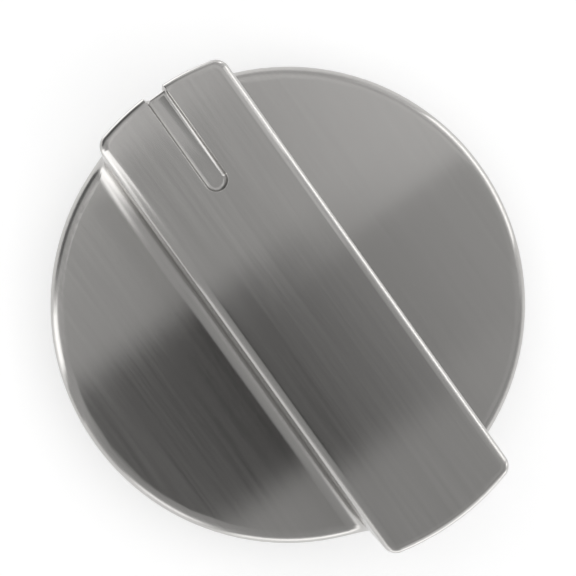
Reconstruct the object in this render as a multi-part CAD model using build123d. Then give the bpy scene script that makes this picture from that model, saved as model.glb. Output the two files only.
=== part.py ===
from build123d import *

import os

# Stove knob: a die-cast metal body, a moulded hub insert, a shaft spring and two screws.
# Millimetres. The origin is on the shaft's axis, in the plane that the rim stands on.
# +Z points out of the knob's face and +Y is the way the pointer groove points.

# Knob body
disc_diameter = 42.0
disc_height = 11.0  # rim plane to the disc's face
grip_height = 13.0  # top of the grip bar above the disc's face
grip_width = 12.2
corner_round = 1.2  # disc's upper rim and the bar's upright corners
edge_round = 0.85  # top edges of the bar
foot_fillet = 1.4  # hollow fillet where the bar rises from the disc
rim_round = 0.4  # both lower edges of the skirt
skirt_wall = 2.0
face_wall = 2.2  # metal over the hollow, in the disc and in the bar's top
grip_wall = 1.7

# Pointer groove, along the bar's top, over its rounded end and down the end wall
groove_width = 1.84
groove_depth = 0.42
groove_start = 11.5  # shaft's axis to the groove's inner end
groove_drop = 6.0  # bar's top to the groove's lower end
groove_floor_radius = 0.36
groove_lip_round = 0.08

# Screw posts of the body and the screws in them
post_diameter = 6.2
post_spread = 25.0  # between the two posts' axes
post_cover = 1.6  # metal between a pilot hole and the disc's face
pilot_runout = 0.4  # hole beyond the screw's tip
thread_clearance = 0.02
screw_diameter = 2.4
screw_tip_length = 1.2
screw_tip_diameter = 0.8
screw_head_diameter = 5.0
screw_head_height = 1.6
screw_head_round = 0.7
screw_hole_clearance = 0.2
recess_length = 2.8
recess_width = 0.7
recess_depth = 1.0

# Hub insert
insert_recess = 3.0  # rim plane to the flange's lower face
flange_thickness = 2.0
insert_clearance = 0.15
hub_diameter = 11.0
hub_setback = 1.0  # rim plane to the hub's mouth
mouth_chamfer = 0.5
rib_count = 4
rib_thickness = 1.2
rib_height = 1.2
lip_thickness = 1.2
tongue_headroom = 3.3  # tongue's top to the roof of the hollow bar
tongue_wall = 1.3
tongue_edge_round = 0.6
core_length_wall = 3.2  # plastic between the socket and each core pocket

# Shaft socket: a 6 mm shaft with a flat
shaft_diameter = 6.0
shaft_across_flat = 4.6
shaft_clearance = 0.05
mouth_clearance = 0.25  # round lead-in, wider than the socket
mouth_length = 5.0
socket_end_wall = 1.5

# Shaft spring: a bowed strip in the socket's flat
spring_thickness = 0.35
spring_width = 3.6
spring_side_clearance = 0.05
spring_end_clearance = 0.2
spring_seat_depth = 0.75  # flat of the socket to the back of the spring's recess
spring_rise = 0.25  # crown of the bow above the socket's flat
spring_land = 1.6
spring_crown = 1.8
spring_bend = 1.0

# Places that follow from the sizes above
disc_radius = disc_diameter / 2
grip_top = disc_height + grip_height
hollow_radius = disc_radius - skirt_wall
disc_roof = disc_height - face_wall
grip_roof = grip_top - face_wall
pocket_width = grip_width - 2 * grip_wall
flange_top = insert_recess + flange_thickness
pilot_top = disc_height - post_cover
screw_length = pilot_top - pilot_runout - insert_recess
post_places = [(post_spread / 2, 0), (-post_spread / 2, 0)]
tongue_top = grip_roof - tongue_headroom
socket_radius = shaft_diameter / 2 + shaft_clearance
mouth_radius = shaft_diameter / 2 + mouth_clearance
socket_flat = -(shaft_across_flat - shaft_diameter / 2 + shaft_clearance)
socket_start = hub_setback + mouth_length
socket_end = tongue_top - socket_end_wall
spring_back = socket_flat - spring_seat_depth
spring_top = socket_end - spring_end_clearance
base = (Align.CENTER, Align.CENTER, Align.MIN)


def round_bar(radius, width, low, high):
    """A straight bar across a circle of the given radius, its ends flush with the circle."""
    length = 2 * radius
    bar = Pos(0, 0, low) * Box(width, length, high - low, align=base)
    return bar & Pos(0, 0, low) * Cylinder(radius, high - low, align=base)


def groove_cutter():
    """The pointer groove: a flat floor with hollow corners, bent over the bar's end, round at both ends."""
    half = groove_width / 2
    floor = grip_top - groove_depth
    above = grip_top + groove_depth
    bend_y = disc_radius - edge_round
    bend_z = grip_top - edge_round
    inner_y = groove_start + half
    lower_z = grip_top - groove_drop + half
    with BuildSketch(Plane.XZ) as section:
        with BuildLine():
            Line((0, above), (0, floor))
            Line((0, floor), (half - groove_floor_radius, floor))
            RadiusArc(
                (half - groove_floor_radius, floor),
                (half, floor + groove_floor_radius),
                -groove_floor_radius,
            )
            Line((half, floor + groove_floor_radius), (half, above))
            Line((half, above), (0, above))
        make_face()
    at_inner_end = Pos(0, inner_y, 0) * section.sketch
    at_bend = Pos(0, bend_y, 0) * section.sketch
    bend_axis = Axis((0, bend_y, bend_z), (1, 0, 0))
    on_end_wall = at_bend.rotate(bend_axis, -90)
    at_lower_end = Pos(0, 0, lower_z - bend_z) * on_end_wall
    right = extrude(at_inner_end, inner_y - bend_y)
    right += revolve(at_bend, bend_axis, -90)
    right += extrude(on_end_wall, bend_z - lower_z, dir=(0, 0, -1))
    round_ends = revolve(at_inner_end, Axis((0, inner_y, 0), (0, 0, 1)), -180)
    round_ends += revolve(at_lower_end, Axis((0, 0, lower_z), (0, 1, 0)), 180)
    return right + mirror(right, Plane.YZ) + round_ends


def in_groove(edge):
    """True for an edge no further from the bar's middle than the groove's walls."""
    reach = groove_width / 2 + groove_lip_round / 10
    return all(abs(p.X) < reach for p in (edge @ 0, edge @ 0.5, edge @ 1))


def on_outer_wall(edge):
    """True for the edges of the outer cylinder from the disc's rim over the foot fillet up the bar's corners."""
    radii = [Vector(p.X, p.Y).length for p in (edge @ 0, edge @ 0.5, edge @ 1)]
    on_wall = all(abs(r - disc_radius) < edge_round / 100 for r in radii)
    return on_wall and disc_height / 2 < (edge @ 0.5).Z < grip_top - edge_round / 2


def knob_body():
    """One casting: disc with its skirt, grip bar, pointer groove, hollow underside and screw posts."""
    disc = Cylinder(disc_radius, disc_height, align=base)
    body = disc + round_bar(disc_radius, grip_width, disc_height, grip_top)
    foot = body.edges().filter_by(Axis.Y).filter_by_position(Axis.Z, disc_height, disc_height)
    body = fillet(foot, foot_fillet)
    outer = [edge for edge in body.edges() if on_outer_wall(edge)]
    body = fillet(outer, corner_round)
    top_edges = body.edges().filter_by_position(Axis.Z, grip_top, grip_top)
    body = fillet(top_edges, edge_round)
    rim = body.edges().filter_by_position(Axis.Z, 0, 0)
    body = fillet(rim, rim_round)
    body -= groove_cutter()
    lips = [edge for edge in body.edges().filter_by_position(Axis.Z, grip_top, grip_top) if in_groove(edge)]
    body = fillet(lips, groove_lip_round)

    body -= Cylinder(hollow_radius, disc_roof, align=base)
    body -= round_bar(hollow_radius, pocket_width, 0, grip_roof)
    inner_rim = body.edges().filter_by_position(Axis.Z, 0, 0).filter_by(GeomType.CIRCLE)
    body = fillet(inner_rim.sort_by(SortBy.RADIUS)[0], rim_round)
    for x, y in post_places:
        body += Pos(x, y, flange_top) * Cylinder(post_diameter / 2, disc_roof - flange_top, align=base)
        pilot_radius = screw_diameter / 2 + thread_clearance
        body -= Pos(x, y, flange_top) * Cylinder(pilot_radius, pilot_top - flange_top, align=base)
    return body


def d_section():
    """The socket's section: a circle with a flat on its -Y side."""
    circle = Circle(socket_radius)
    flat = Pos(0, socket_flat) * Rectangle(
        2 * socket_radius, socket_radius, align=(Align.CENTER, Align.MAX)
    )
    return circle - flat


def hub_insert():
    """One moulding: flange with lip and ribs, hub with the shaft socket, and a cored tongue for the bar."""
    flange_radius = hollow_radius - insert_clearance
    flange = Pos(0, 0, insert_recess) * Cylinder(flange_radius, flange_thickness, align=base)
    rib_foot = insert_recess - rib_height
    lip = Cylinder(flange_radius, rib_height, align=base)
    lip -= Cylinder(flange_radius - lip_thickness, rib_height, align=base)
    insert = flange + Pos(0, 0, rib_foot) * lip
    for place in PolarLocations(0, rib_count, 360 / rib_count / 2):
        rib_length = flange_radius - lip_thickness / 2
        rib = Box(rib_length, rib_thickness, rib_height, align=(Align.MIN, Align.CENTER, Align.MIN))
        insert += Pos(0, 0, rib_foot) * place * rib
    insert += Pos(0, 0, hub_setback) * Cylinder(
        hub_diameter / 2, insert_recess - hub_setback, align=base
    )

    tongue_radius = hollow_radius - insert_clearance
    tongue_width = pocket_width - 2 * insert_clearance
    tongue = round_bar(tongue_radius, tongue_width, flange_top, tongue_top)
    tongue = fillet(tongue.edges().group_by(Axis.Z)[-1], tongue_edge_round)
    insert += tongue
    core = round_bar(
        tongue_radius - tongue_wall,
        tongue_width - 2 * tongue_wall,
        insert_recess,
        tongue_top - tongue_wall,
    )
    core -= Box(grip_width, 2 * (socket_radius + core_length_wall), 2 * grip_top)
    insert -= core

    socket = extrude(Pos(0, 0, socket_start) * d_section(), socket_end - socket_start)
    mouth = Pos(0, 0, hub_setback) * Cylinder(mouth_radius, mouth_length, align=base)
    lead = Pos(0, 0, hub_setback) * Cone(
        mouth_radius + mouth_chamfer, mouth_radius, mouth_chamfer, align=base
    )
    seat = Pos(0, spring_back, socket_start) * Box(
        spring_width + 2 * spring_side_clearance,
        spring_seat_depth,
        socket_end - socket_start,
        align=(Align.CENTER, Align.MIN, Align.MIN),
    )
    insert -= socket + mouth + lead + seat
    for x, y in post_places:
        hole_radius = screw_diameter / 2 + screw_hole_clearance
        insert -= Pos(x, y, insert_recess) * Cylinder(hole_radius, flange_thickness, align=base)
    return insert


def shaft_spring():
    """A strip of spring steel: two lands on the back of its recess and a bow that stands past the flat."""
    low = socket_start + spring_end_clearance
    middle = (low + spring_top) / 2
    land_y = spring_back + spring_thickness / 2
    crown_y = socket_flat + spring_rise - spring_thickness / 2
    points = [
        (land_y, low),
        (land_y, low + spring_land),
        (crown_y, middle - spring_crown / 2),
        (crown_y, middle + spring_crown / 2),
        (land_y, spring_top - spring_land),
        (land_y, spring_top),
    ]
    with BuildSketch(Plane.YZ) as strip:
        with BuildLine() as line:
            FilletPolyline(*points, radius=spring_bend)
        trace(line.line, spring_thickness)
    return extrude(strip.sketch, spring_width / 2, both=True)


def insert_screw():
    """A pan-head tapping screw standing on its head, the head's seat at z = 0."""
    head = Cylinder(
        screw_head_diameter / 2, screw_head_height, align=(Align.CENTER, Align.CENTER, Align.MAX)
    )
    head = fillet(head.edges().group_by(Axis.Z)[0], screw_head_round)
    shank_length = screw_length - screw_tip_length
    shank = Cylinder(screw_diameter / 2, shank_length, align=base)
    tip = Pos(0, 0, shank_length) * Cone(
        screw_diameter / 2, screw_tip_diameter / 2, screw_tip_length, align=base
    )
    slot = Pos(0, 0, -screw_head_height) * Box(recess_length, recess_width, recess_depth, align=base)
    return head + shank + tip - slot - Rot(0, 0, 90) * slot


def insert_screws():
    """Both screws, driven from below through the flange into the posts."""
    return Compound([Pos(x, y, insert_recess) * insert_screw() for x, y in post_places])


os.makedirs("parts", exist_ok=True)
export_step(knob_body(), "parts/knob_body.step")
export_step(hub_insert(), "parts/hub_insert.step")
export_step(shaft_spring(), "parts/shaft_spring.step")
export_step(insert_screws(), "parts/insert_screws.step")
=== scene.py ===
from math import atan2, cos, hypot, pi, radians, sin, tan

import bmesh
import bpy
from mathutils import Matrix, Vector


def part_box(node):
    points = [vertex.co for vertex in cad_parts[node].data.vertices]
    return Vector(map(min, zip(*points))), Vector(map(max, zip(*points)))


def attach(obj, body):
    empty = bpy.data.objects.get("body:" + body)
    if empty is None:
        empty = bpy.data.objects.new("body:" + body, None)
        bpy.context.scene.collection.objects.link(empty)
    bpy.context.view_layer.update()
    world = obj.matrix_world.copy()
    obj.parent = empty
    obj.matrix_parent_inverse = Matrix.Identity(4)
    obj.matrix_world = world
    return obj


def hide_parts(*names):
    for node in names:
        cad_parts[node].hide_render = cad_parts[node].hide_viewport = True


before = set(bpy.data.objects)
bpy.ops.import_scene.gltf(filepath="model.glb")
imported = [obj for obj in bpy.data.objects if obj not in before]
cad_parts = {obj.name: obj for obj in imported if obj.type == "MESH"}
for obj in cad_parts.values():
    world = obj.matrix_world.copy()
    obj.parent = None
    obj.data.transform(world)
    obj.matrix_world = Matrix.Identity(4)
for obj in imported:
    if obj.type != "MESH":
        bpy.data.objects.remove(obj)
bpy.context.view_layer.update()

# Knob body
# One zinc die casting with a satin chrome finish: a round disc with a deep skirt and a grip bar across it.
# What faces up is belt-brushed along the bar, the outer wall is brushed around, and the inside is as cast.

disc_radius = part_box("knob_body")[1].x
disc_face = 0.011
disc_roof = 0.0088
grip_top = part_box("knob_body")[1].z
grip_roof = 0.0218
foot_top = 0.0124
hollow_radius = 0.019
pocket_half_width = 0.0044
rim_round = 0.0004
weld_distance = 1e-6
flat_angle = radians(0.5)
sharp_angle = radians(50)
flat_weight = 100
near = 0.00005
upright = 0.12

satin_light = (0.54, 0.53, 0.515, 1)
satin_dark = (0.49, 0.48, 0.467, 1)
satin_roughness = 0.175
satin_spread = 0.02
satin_depth = 0.000002
satin_anisotropy = 1.0
across_brushing = 0.25
scratch_length = 0.009
scratch_width = 0.00009
scratch_strength = 0.5
streak_length = 0.016
streak_width = 0.00042
band_length = 0.030
band_width = 0.0026
line_roughness = 0.6
tone_share = 0.5
noise_low = 0.3
noise_high = 0.7

cast_light = (0.36, 0.36, 0.35, 1)
cast_dark = (0.25, 0.25, 0.245, 1)
cast_smooth = 0.38
cast_rough = 0.55
cast_flow_scale = 260.0
cast_skin_scale = 2200.0
cast_skin_strength = 0.4
cast_skin_depth = 0.00004


def welded_copy(node):
    """A CAD node's triangles as one closed mesh, with its flat faces whole and its sharp edges marked."""
    mesh = bmesh.new()
    mesh.from_mesh(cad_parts[node].data)
    bmesh.ops.remove_doubles(mesh, verts=mesh.verts, dist=weld_distance)
    bmesh.ops.dissolve_limit(
        mesh, angle_limit=flat_angle, verts=mesh.verts, edges=mesh.edges, delimit=set()
    )
    for face in mesh.faces:
        face.smooth = True
    for edge in mesh.edges:
        edge.smooth = edge.calc_face_angle(0) < sharp_angle
    return mesh


def stand_in(mesh, node, materials):
    """Make the piece that stands for a CAD node, riding where the node rides."""
    data = bpy.data.meshes.new(node + "_finished")
    mesh.to_mesh(data)
    mesh.free()
    piece = bpy.data.objects.new(node + "_finished", data)
    bpy.context.scene.collection.objects.link(piece)
    for material in materials:
        data.materials.append(material)
    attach(piece, "root")
    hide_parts(node)
    return piece


def add_node(tree, kind, links=None, **values):
    """Add a shader node, set its properties or input values by name, and link its inputs."""
    node = tree.nodes.new(kind)
    for name, value in values.items():
        if name in node.inputs:
            node.inputs[name].default_value = value
        else:
            setattr(node, name, value)
    for name, source in (links or {}).items():
        tree.links.new(source, node.inputs[name])
    return node


def new_group(name, inputs, outputs):
    """An empty shader node group with vector inputs and float outputs, and its two end nodes."""
    group = bpy.data.node_groups.new(name, "ShaderNodeTree")
    for socket in inputs:
        group.interface.new_socket(socket, in_out="INPUT", socket_type="NodeSocketVector")
    for socket in outputs:
        group.interface.new_socket(socket, in_out="OUTPUT", socket_type="NodeSocketFloat")
    return group, group.nodes.new("NodeGroupInput"), group.nodes.new("NodeGroupOutput")


def stretched_noise(group, vector, along, across, detail):
    """Noise drawn out along the first coordinate: along and across are its lengths in metres."""
    stretch = add_node(
        group, "ShaderNodeMapping", {"Vector": vector}, Scale=(1 / along, 1 / across, 1 / across)
    )
    noise = add_node(
        group,
        "ShaderNodeTexNoise",
        {"Vector": stretch.outputs["Vector"]},
        Scale=1.0,
        Detail=detail,
        Roughness=line_roughness,
    )
    return noise.outputs["Fac"]


def brush_lines_group():
    """Lines left by a brushing belt: fine scratches, coarser streaks and broad uneven bands."""
    group, inlet, outlet = new_group("brush_lines", ["Vector"], ["Fine", "Streaks", "Bands"])
    vector = inlet.outputs["Vector"]
    lines = {
        "Fine": stretched_noise(group, vector, scratch_length, scratch_width, detail=2.0),
        "Streaks": stretched_noise(group, vector, streak_length, streak_width, detail=3.0),
        "Bands": stretched_noise(group, vector, band_length, band_width, detail=2.0),
    }
    for name, value in lines.items():
        group.links.new(value, outlet.inputs[name])
    return group


brush_lines = brush_lines_group()


def new_material(name):
    """A material with its Principled shader at hand."""
    material = bpy.data.materials.new(name)
    material.use_nodes = True
    return material, material.node_tree, material.node_tree.nodes["Principled BSDF"]


def blended(tree, factor, dark, light):
    """A colour between two finishes, by a value from 0 to 1."""
    factor_in, dark_in, light_in, colour_out = 0, 6, 7, 2
    mix = add_node(tree, "ShaderNodeMix", data_type="RGBA")
    mix.inputs[dark_in].default_value = dark
    mix.inputs[light_in].default_value = light
    tree.links.new(factor, mix.inputs[factor_in])
    return mix.outputs[colour_out]


def ranged(tree, noise, low, high):
    """A noise value, which keeps to the middle of 0 to 1, stretched to a new range."""
    limits = {"From Min": noise_low, "From Max": noise_high, "To Min": low, "To Max": high}
    return add_node(tree, "ShaderNodeMapRange", {"Value": noise}, **limits).outputs["Result"]


def combined(tree, operation, first, second):
    """Two values joined into one: their sum, their product or the larger of them."""
    return add_node(tree, "ShaderNodeMath", {0: first, 1: second}, operation=operation).outputs["Value"]


def bumped(tree, shader, height, strength, depth):
    """Roughen a shader's surface by a height value, to a depth in metres."""
    bump = add_node(tree, "ShaderNodeBump", {"Height": height}, Strength=strength, Distance=depth)
    tree.links.new(bump.outputs["Normal"], shader.inputs["Normal"])


def brushed_material(name, dark, light, roughness, spread, depth, anisotropy):
    """Brushed metal whose lines and smeared gloss follow the piece's brush UV map."""
    material, tree, shader = new_material(name)
    along = add_node(tree, "ShaderNodeUVMap", uv_map="brush")
    lines = add_node(tree, "ShaderNodeGroup", node_tree=brush_lines)
    tree.links.new(along.outputs["UV"], lines.inputs["Vector"])
    tone = combined(
        tree,
        "ADD",
        ranged(tree, lines.outputs["Streaks"], 0.0, tone_share),
        ranged(tree, lines.outputs["Bands"], 0.0, tone_share),
    )
    tree.links.new(blended(tree, tone, dark, light), shader.inputs["Base Color"])
    rough = combined(
        tree,
        "ADD",
        ranged(tree, lines.outputs["Streaks"], roughness - spread, roughness),
        ranged(tree, lines.outputs["Bands"], 0.0, spread),
    )
    tree.links.new(rough, shader.inputs["Roughness"])
    bumped(tree, shader, lines.outputs["Fine"], scratch_strength, depth)
    tangent = add_node(tree, "ShaderNodeTangent", direction_type="UV_MAP", uv_map="brush")
    tree.links.new(tangent.outputs["Tangent"], shader.inputs["Tangent"])
    shader.inputs["Metallic"].default_value = 1.0
    shader.inputs["Anisotropic"].default_value = anisotropy
    shader.inputs["Anisotropic Rotation"].default_value = across_brushing
    return material


def fixed_noise(tree, scale, detail, distortion=0.0):
    """Noise that stays with the piece, by its number of cells to the metre."""
    place = add_node(tree, "ShaderNodeTexCoord")
    noise = add_node(
        tree,
        "ShaderNodeTexNoise",
        {"Vector": place.outputs["Object"]},
        Scale=scale,
        Detail=detail,
        Distortion=distortion,
    )
    return noise.outputs["Fac"]


def toned(tree, shader, noise, dark, light, smooth, rough):
    """Let one noise vary a shader's colour and roughness together."""
    tree.links.new(blended(tree, noise, dark, light), shader.inputs["Base Color"])
    tree.links.new(ranged(tree, noise, smooth, rough), shader.inputs["Roughness"])


def cast_material():
    """Plated casting that nobody sees in use: dull, with a fine skin left by the die."""
    material, tree, shader = new_material("cast_inside")
    flow = fixed_noise(tree, cast_flow_scale, detail=2.0, distortion=1.2)
    skin = fixed_noise(tree, cast_skin_scale, detail=3.0)
    toned(tree, shader, flow, cast_dark, cast_light, cast_smooth, cast_rough)
    bumped(tree, shader, skin, cast_skin_strength, cast_skin_depth)
    shader.inputs["Metallic"].default_value = 1.0
    return material


def in_hollow(point):
    """True for a point on the casting's inner walls, its posts or its lower rim."""
    if hypot(point.x, point.y) > hollow_radius + near:
        return point.z < rim_round
    in_skirt = point.z < disc_roof + near
    in_bar = abs(point.x) < pocket_half_width + near and point.z < grip_roof + near
    return in_skirt or in_bar


def brush_coordinates(point, normal, face):
    """Metres along and across the brushing: around the axis on the outer wall, along the bar elsewhere."""
    centre = face.calc_center_median()
    if abs(face.normal.z) < upright and abs(hypot(centre.x, centre.y) - disc_radius) < near:
        turn = atan2(centre.x, centre.y)
        step = (atan2(point.x, point.y) - turn + pi) % (2 * pi) - pi
        return (turn + step) * disc_radius, point.z
    drop = (grip_top if point.z > foot_top else disc_face) - point.z
    lean = max(hypot(normal.x, normal.y), near)
    return point.y + drop * normal.y / lean, point.x + drop * normal.x / lean


body_mesh = welded_copy("knob_body")
body_mesh.normal_update()
brush_map = body_mesh.loops.layers.uv.new("brush")
for face in body_mesh.faces:
    face.material_index = 1 if in_hollow(face.calc_center_median()) else 0
    for loop in face.loops:
        loop[brush_map].uv = brush_coordinates(loop.vert.co, loop.vert.normal, face)
satin_brushed = brushed_material(
    "satin_brushed", satin_dark, satin_light, satin_roughness, satin_spread, satin_depth, satin_anisotropy
)
body = stand_in(body_mesh, "knob_body", [satin_brushed, cast_material()])
evened = body.modifiers.new("even_shading", "WEIGHTED_NORMAL")
evened.keep_sharp = True
evened.weight = flat_weight

# Hub insert
# A black moulding of glass-filled plastic with a flange, ribs and the shaft's socket.
# Its tongue fills the hollow bar and two screws hold its flange to the body's posts.

plastic_dark = (0.012, 0.012, 0.013, 1)
plastic_light = (0.03, 0.03, 0.031, 1)
plastic_smooth = 0.42
plastic_rough = 0.58
plastic_flow_scale = 240.0
plastic_grain_scale = 3600.0
plastic_grain_strength = 0.5
plastic_grain_depth = 0.00005


def plastic_material():
    """Spark-eroded moulded plastic: a fine even grain with slight flow marks."""
    material, tree, shader = new_material("moulded_plastic")
    flow = fixed_noise(tree, plastic_flow_scale, detail=3.0, distortion=0.8)
    grain = fixed_noise(tree, plastic_grain_scale, detail=2.0)
    toned(tree, shader, flow, plastic_dark, plastic_light, plastic_smooth, plastic_rough)
    bumped(tree, shader, grain, plastic_grain_strength, plastic_grain_depth)
    return material


stand_in(welded_copy("hub_insert"), "hub_insert", [plastic_material()])

# Shaft spring
# A strip of blank spring steel, bowed in a press, that sits in the flat of the shaft's socket.
# Its lands bear on the socket's back wall and the bow presses on the shaft.

strip_light = (0.46, 0.45, 0.43, 1)
strip_dark = (0.34, 0.335, 0.325, 1)
strip_roughness = 0.3
strip_spread = 0.08
strip_depth = 0.000003
strip_anisotropy = 0.4


def strip_coordinates(point):
    """The strip was rolled along its length, which stands along the shaft."""
    return point.z, point.x + point.y


spring_mesh = welded_copy("shaft_spring")
roll_map = spring_mesh.loops.layers.uv.new("brush")
for face in spring_mesh.faces:
    for loop in face.loops:
        loop[roll_map].uv = strip_coordinates(loop.vert.co)
rolled_strip = brushed_material(
    "rolled_strip", strip_dark, strip_light, strip_roughness, strip_spread, strip_depth, strip_anisotropy
)
stand_in(spring_mesh, "shaft_spring", [rolled_strip])

# Insert screws
# Two zinc-plated pan-head tapping screws with a cross recess.
# They are driven from below through the insert's flange into the posts of the casting.

plate_light = (0.66, 0.64, 0.58, 1)
plate_dark = (0.50, 0.49, 0.46, 1)
plate_smooth = 0.25
plate_rough = 0.4
plate_cloud_scale = 900.0
plate_cloud_strength = 0.3
plate_cloud_depth = 0.00002


def plated_material():
    """Bright zinc plate: a slightly cloudy, warm grey metal."""
    material, tree, shader = new_material("zinc_plate")
    cloud = fixed_noise(tree, plate_cloud_scale, detail=4.0)
    toned(tree, shader, cloud, plate_dark, plate_light, plate_smooth, plate_rough)
    bumped(tree, shader, cloud, plate_cloud_strength, plate_cloud_depth)
    shader.inputs["Metallic"].default_value = 1.0
    return material


stand_in(welded_copy("insert_screws"), "insert_screws", [plated_material()])

# Studio
# A white table under a dim dome, with bright and dark cards around the knob that only its metal mirrors.
# The camera looks almost straight down on the face, with the pointer towards the upper left.

scene = bpy.context.scene
white = (1, 1, 1, 1)
table_white = (0.85, 0.85, 0.85, 1)
table_lift = 0.32
table_half_width = 2.0

table_mesh = bmesh.new()
bmesh.ops.create_grid(table_mesh, x_segments=1, y_segments=1, size=table_half_width)
table_data = bpy.data.meshes.new("table")
table_mesh.to_mesh(table_data)
table_mesh.free()
table = bpy.data.objects.new("table", table_data)
scene.collection.objects.link(table)
table_paint, table_tree, table_shader = new_material("white_table")
table_shader.inputs["Base Color"].default_value = table_white
table_shader.inputs["Roughness"].default_value = 1.0
table_shader.inputs["Specular IOR Level"].default_value = 0.0
table_shader.inputs["Emission Color"].default_value = white
seen = add_node(table_tree, "ShaderNodeLightPath")
mirrored = combined(table_tree, "MAXIMUM", seen.outputs["Is Camera Ray"], seen.outputs["Is Glossy Ray"])
lift = add_node(table_tree, "ShaderNodeMath", {0: mirrored}, operation="MULTIPLY")
lift.inputs[1].default_value = table_lift
table_tree.links.new(lift.outputs["Value"], table_shader.inputs["Emission Strength"])
table_data.materials.append(table_paint)


def facing(place, target):
    """The turn that points a lamp or a card at a target."""
    return (target - place).to_track_quat("-Z", "Y").to_euler()


def soft_box(name, place, target, width, height, brightness, spread=pi):
    """A lamp that faces a target; brightness is how bright a mirror straight before it shows it."""
    light = bpy.data.lights.new(name, "AREA")
    light.shape = "RECTANGLE"
    light.size = width
    light.size_y = height
    light.spread = spread
    beam = 1.0 if spread == pi else tan(spread / 2) / (tan(spread / 2) - spread / 2)
    light.energy = brightness * pi * width * height / beam
    lamp = bpy.data.objects.new(name, light)
    lamp.location = place
    lamp.rotation_euler = facing(place, target)
    scene.collection.objects.link(lamp)
    return lamp


def eased(tree, value, start, end, low, high):
    """A value that goes softly from low to high while another goes from start to end."""
    limits = {"From Min": start, "From Max": end, "To Min": low, "To Max": high}
    softened = add_node(
        tree, "ShaderNodeMapRange", {"Value": value}, interpolation_type="SMOOTHSTEP", **limits
    )
    return softened.outputs["Result"]


def faded(tree, share, border):
    """A mask from a 0 to 1 place on a card: 0 at both ends, 1 from the given border on."""
    middle = 0.5
    inward = add_node(tree, "ShaderNodeMath", {0: share}, operation="PINGPONG")
    inward.inputs[1].default_value = middle
    return eased(tree, inward.outputs["Value"], 0.0, border, 0.0, 1.0)


def mirrored_card(name, place, toward, width, height, brightness, fade):
    """A card that looks one way, fades out over its borders and only shows in the metal."""
    mesh = bmesh.new()
    bmesh.ops.create_grid(mesh, x_segments=1, y_segments=1, size=0.5)
    bmesh.ops.scale(mesh, verts=mesh.verts, vec=(width, height, 1))
    data = bpy.data.meshes.new(name)
    mesh.to_mesh(data)
    mesh.free()
    card = bpy.data.objects.new(name, data)
    card.location = place
    card.rotation_euler = facing(place, place + toward)
    scene.collection.objects.link(card)
    for ray in ("camera", "diffuse", "transmission", "volume_scatter", "shadow"):
        setattr(card, "visible_" + ray, False)
    material, tree, shader = new_material(name)
    tree.nodes.remove(shader)
    spot = add_node(tree, "ShaderNodeTexCoord")
    share = add_node(tree, "ShaderNodeSeparateXYZ", {"Vector": spot.outputs["Generated"]})
    within_width = faded(tree, share.outputs["X"], fade / width)
    within_height = faded(tree, share.outputs["Y"], fade / height)
    within = combined(tree, "MULTIPLY", within_width, within_height)
    clear = add_node(tree, "ShaderNodeBsdfTransparent")
    glow = add_node(tree, "ShaderNodeEmission", Strength=brightness)
    card_mix = add_node(
        tree, "ShaderNodeMixShader", {0: within, 1: clear.outputs["BSDF"], 2: glow.outputs["Emission"]}
    )
    tree.links.new(card_mix.outputs["Shader"], tree.nodes["Material Output"].inputs["Surface"])
    data.materials.append(material)


def overhead_card(name, across, along, height, brightness, fade):
    """A level card over the knob, by its two ends across and along the bar."""
    place = Vector((sum(across) / 2, sum(along) / 2, height))
    down = Vector((0, 0, -1))
    mirrored_card(name, place, down, across[1] - across[0], along[1] - along[0], brightness, fade)


def standing_card(name, azimuth, distance, width, height, brightness, fade):
    """An upright card on the table that faces the knob's axis."""
    outward = Vector((cos(radians(azimuth)), sin(radians(azimuth)), 0))
    place = outward * distance + Vector((0, 0, height / 2))
    mirrored_card(name, place, -outward, width, height, brightness, fade)


fill_place = Vector((0.016, 0.027, 0.9))
fill_width = 0.9
fill_brightness = 1.5
fill = soft_box("fill", fill_place, Vector((0, 0, 0)), fill_width, fill_width, fill_brightness)
fill.visible_glossy = False

# Overhead, at the camera's height: the dark patch, the light at the pointer and the two tones on the right.
camera_place = Vector((-0.00891, 0.00926, 0.14551))
lens_height = camera_place.z
behind_lens = lens_height + 0.001
overhead_card(
    "lens_card", across=(-0.0423, 0.0133), along=(-0.0368, 0.0040),
    height=lens_height, brightness=0.02, fade=0.0065,
)
overhead_card(
    "pane_card", across=(-0.030, 0.004), along=(0.024, 0.150),
    height=lens_height, brightness=1.2, fade=0.006,
)
overhead_card(
    "right_card", across=(0.021, 0.120), along=(-0.006, 0.250),
    height=lens_height, brightness=0.79, fade=0.001,
)
overhead_card(
    "right_low_card", across=(0.023, 0.140), along=(-0.140, -0.006),
    height=lens_height, brightness=0.52, fade=0.001,
)
overhead_card(
    "dim_card", across=(-0.004, 0.021), along=(-0.080, 0.150),
    height=behind_lens, brightness=0.31, fade=0.003,
)

# Around the knob: the light lines on the disc's rim and the bar's ends, and the tones of the upright walls.
standing_card(
    "front_band", azimuth=240, distance=0.065, width=0.040, height=0.020, brightness=2.0, fade=0.003
)
standing_card(
    "front_high", azimuth=271, distance=0.065, width=0.036, height=0.046, brightness=0.9, fade=0.002
)
standing_card(
    "front_low", azimuth=271, distance=0.064, width=0.036, height=0.022, brightness=2.0, fade=0.002
)
standing_card(
    "back_shade", azimuth=110, distance=0.110, width=0.127, height=0.070, brightness=0.15, fade=0.012
)
standing_card(
    "right_wall", azimuth=0, distance=0.200, width=0.300, height=0.140, brightness=0.85, fade=0.030
)
rim_glow = Vector((-0.178, -0.091, 0.0))
mirrored_card("rim_glow", rim_glow, -rim_glow, width=0.120, height=0.160, brightness=2.0, fade=0.045)
end_glow = Vector((-0.001, 0.0735, 0.0005))
upward = Vector((0, 0, 1))
mirrored_card("end_glow", end_glow, upward, width=0.038, height=0.063, brightness=2.0, fade=0.003)

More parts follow.
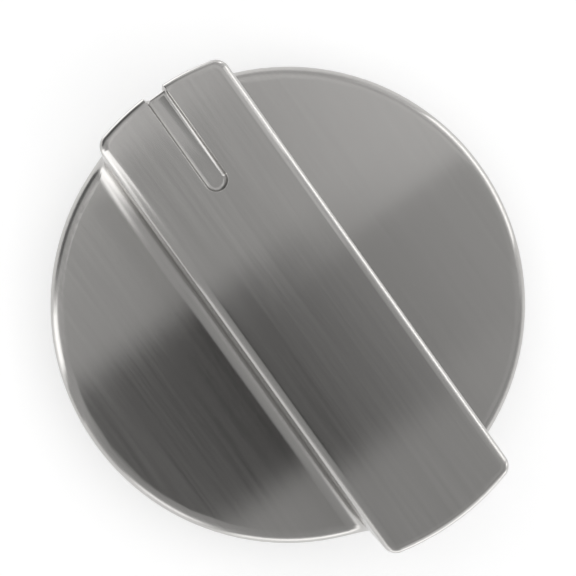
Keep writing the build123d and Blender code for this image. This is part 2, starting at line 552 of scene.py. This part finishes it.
# The bar's long edges: a low band far on the right, and a strip, a low card and a grey flag on the left.
# The flag keeps the strip out of the disc's rim.
leftward = Vector((-1, 0, 0))
rightward = Vector((1, 0, 0))
edge_band = Vector((0.190, -0.014, 0.020))
mirrored_card("edge_band", edge_band, leftward, width=0.135, height=0.056, brightness=3.2, fade=0.008)
left_strip = Vector((-0.300, 0.0495, 0.336))
mirrored_card("left_strip", left_strip, rightward, width=0.037, height=0.700, brightness=2.2, fade=0.014)
left_low = Vector((-0.057, 0.0295, 0.018))
mirrored_card("left_low", left_low, rightward, width=0.027, height=0.046, brightness=2.2, fade=0.006)
left_flag = Vector((-0.065, 0.0105, 0.060))
mirrored_card("left_flag", left_flag, rightward, width=0.013, height=0.124, brightness=0.5, fade=0.002)

# Small lamps with a narrow beam light the bar's right corners and the left wall of the groove.
glow_width = 0.016
glow_spread = radians(22)
corner_side = 0.0057
corner_end = 0.0196
corner_height = 0.0235
corner_reach = 0.054
corner_lamp_height = 0.0185
corner_lamp_tall = 0.009
corner_brightness = 5.0
corner_glows = [(-corner_end, -35), (-corner_end, -65), (corner_end, 35)]
for number, (end, azimuth) in enumerate(corner_glows):
    corner = Vector((corner_side, end, corner_height))
    turn = radians(azimuth)
    lamp_side = corner_side + corner_reach * cos(turn)
    lamp_end = end + corner_reach * sin(turn)
    lamp_place = Vector((lamp_side, lamp_end, corner_lamp_height))
    soft_box(
        "edge_glow_%d" % number, lamp_place, corner,
        glow_width, corner_lamp_tall, corner_brightness, glow_spread,
    )
groove_place = Vector((-0.0009, 0.0165, 0.0237))
groove_lamp_place = Vector((0.053, 0.0197, 0.0524))
groove_lamp_tall = 0.018
groove_brightness = 1.2
soft_box(
    "groove_glow", groove_lamp_place, groove_place,
    glow_width, groove_lamp_tall, groove_brightness, glow_spread,
)

# The dome: a little lighter towards the pointer and near the horizon, and white where the camera sees it.
dome_dark = 0.42
dome_bright = 0.52
dome_bright_side = (0.08, 1.0, 0.0)
dome_shade_start = -0.14
dome_shade_end = 0.03
horizon_glow = 0.18
horizon_reach = 0.5
world = bpy.data.worlds.new("studio")
scene.world = world
world.use_nodes = True
dome_tree = world.node_tree
dome = dome_tree.nodes["Background"]
dome.inputs["Color"].default_value = white
sky_place = add_node(dome_tree, "ShaderNodeTexCoord").outputs["Generated"]
bright_side = add_node(dome_tree, "ShaderNodeVectorMath", {0: sky_place}, operation="DOT_PRODUCT")
bright_side.inputs[1].default_value = dome_bright_side
shade = eased(
    dome_tree, bright_side.outputs["Value"], dome_shade_start, dome_shade_end, dome_dark, dome_bright
)
sky_height = add_node(dome_tree, "ShaderNodeSeparateXYZ", {"Vector": sky_place}).outputs["Z"]
horizon = eased(dome_tree, sky_height, 0.0, horizon_reach, horizon_glow, 0.0)
dome_light = combined(dome_tree, "ADD", shade, horizon)
seen_dome = add_node(dome_tree, "ShaderNodeLightPath")
white_behind = combined(dome_tree, "MAXIMUM", dome_light, seen_dome.outputs["Is Camera Ray"])
dome_tree.links.new(white_behind, dome.inputs["Strength"])

# The camera, turned so that the bar runs from the upper left to the lower right.
aim = Vector((0.00058, 0.00144, disc_face))
camera_roll = radians(35.63)
image_up = Vector((sin(camera_roll), cos(camera_roll), 0))
lens = bpy.data.cameras.new("lens")
lens.lens = 96.64
lens.sensor_width = 36.0
lens.clip_start = 0.005
camera = bpy.data.objects.new("camera", lens)
scene.collection.objects.link(camera)
sight = (aim - camera_place).normalized()
side = sight.cross(image_up).normalized()
turned = Matrix((side, side.cross(sight), -sight)).transposed().to_4x4()
camera.matrix_world = Matrix.Translation(camera_place) @ turned
scene.camera = camera
scene.view_settings.view_transform = "Standard"
